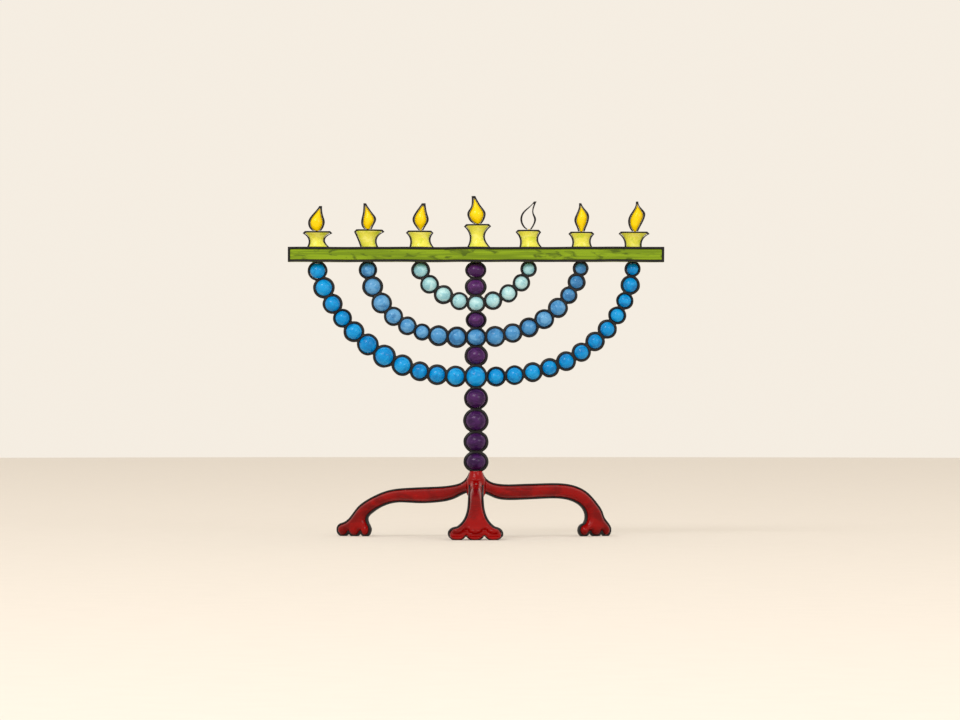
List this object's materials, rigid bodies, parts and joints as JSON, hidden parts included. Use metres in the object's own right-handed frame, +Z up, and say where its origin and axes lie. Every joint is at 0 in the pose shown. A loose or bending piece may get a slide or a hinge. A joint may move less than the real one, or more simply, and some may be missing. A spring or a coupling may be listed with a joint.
{
  "type": "seven-branched menorah",
  "caption": "Free-standing branched menorah: ringed glazed balls strung into curved arms and a stem, under a straight candle bar on three pawed legs, with lift-off candles and flames.",
  "frame": {"origin": "on the table, on the axis of the stem", "axes": "+Z up along the stem, +X along the candle bar to the right as seen from the front, front faces -Y"},
  "size_m": [0.376, 0.1597, 0.3423],
  "materials": {
    "black_steel": "blackened steel with a satin lacquer",
    "plain_steel": "zinc-plated, dull",
    "candle_glaze": "glossy pale yellow glaze with lime patches",
    "green_wood": "green paint brushed on lengthwise, satin",
    "flame_glaze": "glossy bright yellow glaze",
    "red_enamel": "glossy deep red enamel",
    "purple_glaze": "glossy plum glaze, darker towards the base",
    "blue_glaze": "glossy bright blue glaze",
    "mid_blue_glaze": "glossy mid-blue glaze",
    "pale_blue_glaze": "glossy pale turquoise glaze"
  },
  "bodies": {
    "stand": {"bar_edging": "black_steel", "bar_studs": "plain_steel", "base_hub": "red_enamel", "base_nut": "plain_steel", "base_washer": "plain_steel", "candle_bar": "green_wood", "candle_pins": "plain_steel", "front_leg": "red_enamel", "front_leg_edging": "black_steel", "inner_cross_ball": "pale_blue_glaze", "inner_left_balls": "pale_blue_glaze", "inner_left_rings": "black_steel", "inner_right_balls": "pale_blue_glaze", "inner_right_rings": "black_steel", "left_leg": "red_enamel", "left_leg_edging": "black_steel", "leg_studs": "plain_steel", "middle_cross_ball": "mid_blue_glaze", "middle_left_balls": "mid_blue_glaze", "middle_left_rings": "black_steel", "middle_right_balls": "mid_blue_glaze", "middle_right_rings": "black_steel", "outer_cross_ball": "blue_glaze", "outer_left_balls": "blue_glaze", "outer_left_rings": "black_steel", "outer_right_balls": "blue_glaze", "outer_right_rings": "black_steel", "right_leg": "red_enamel", "right_leg_edging": "black_steel", "stem_balls": "purple_glaze", "stem_rings": "black_steel", "stem_stud": "plain_steel"},
    "candle_1_body": {"candle_1": "candle_glaze", "candle_1_edging": "black_steel"},
    "flame_1_body": {"flame_1": "flame_glaze", "flame_1_edging": "black_steel"},
    "candle_2_body": {"candle_2": "candle_glaze", "candle_2_edging": "black_steel"},
    "flame_2_body": {"flame_2": "flame_glaze", "flame_2_edging": "black_steel"},
    "candle_3_body": {"candle_3": "candle_glaze", "candle_3_edging": "black_steel"},
    "flame_3_body": {"flame_3": "flame_glaze", "flame_3_edging": "black_steel"},
    "candle_4_body": {"candle_4": "candle_glaze", "candle_4_edging": "black_steel"},
    "flame_4_body": {"flame_4": "flame_glaze", "flame_4_edging": "black_steel"},
    "candle_5_body": {"candle_5": "candle_glaze", "candle_5_edging": "black_steel"},
    "flame_5_body": {"flame_5": "flame_glaze", "flame_5_edging": "black_steel"},
    "candle_6_body": {"candle_6": "candle_glaze", "candle_6_edging": "black_steel"},
    "flame_6_body": {"flame_6": "flame_glaze", "flame_6_edging": "black_steel"},
    "candle_7_body": {"candle_7": "candle_glaze", "candle_7_edging": "black_steel"},
    "flame_7_body": {"flame_7": "flame_glaze", "flame_7_edging": "black_steel"}
  },
  "joints": [
    {"name": "candle_1_lift", "type": "slide", "parent": "stand", "child": "candle_1_body", "axis": [0, 0, 1], "range_m": [0, 0.03]},
    {"name": "candle_2_lift", "type": "slide", "parent": "stand", "child": "candle_2_body", "axis": [0, 0, 1], "range_m": [0, 0.03]},
    {"name": "candle_3_lift", "type": "slide", "parent": "stand", "child": "candle_3_body", "axis": [0, 0, 1], "range_m": [0, 0.03]},
    {"name": "candle_4_lift", "type": "slide", "parent": "stand", "child": "candle_4_body", "axis": [0, 0, 1], "range_m": [0, 0.03]},
    {"name": "candle_5_lift", "type": "slide", "parent": "stand", "child": "candle_5_body", "axis": [0, 0, 1], "range_m": [0, 0.03]},
    {"name": "candle_6_lift", "type": "slide", "parent": "stand", "child": "candle_6_body", "axis": [0, 0, 1], "range_m": [0, 0.03]},
    {"name": "candle_7_lift", "type": "slide", "parent": "stand", "child": "candle_7_body", "axis": [0, 0, 1], "range_m": [0, 0.03]},
    {"name": "flame_1_lift", "type": "slide", "parent": "candle_1_body", "child": "flame_1_body", "axis": [0, 0, 1], "range_m": [0, 0.02]},
    {"name": "flame_2_lift", "type": "slide", "parent": "candle_2_body", "child": "flame_2_body", "axis": [0, 0, 1], "range_m": [0, 0.02]},
    {"name": "flame_3_lift", "type": "slide", "parent": "candle_3_body", "child": "flame_3_body", "axis": [0, 0, 1], "range_m": [0, 0.02]},
    {"name": "flame_4_lift", "type": "slide", "parent": "candle_4_body", "child": "flame_4_body", "axis": [0, 0, 1], "range_m": [0, 0.02]},
    {"name": "flame_5_lift", "type": "slide", "parent": "candle_5_body", "child": "flame_5_body", "axis": [0, 0, 1], "range_m": [0, 0.02]},
    {"name": "flame_6_lift", "type": "slide", "parent": "candle_6_body", "child": "flame_6_body", "axis": [0, 0, 1], "range_m": [0, 0.02]},
    {"name": "flame_7_lift", "type": "slide", "parent": "candle_7_body", "child": "flame_7_body", "axis": [0, 0, 1], "range_m": [0, 0.02]}
  ]
}
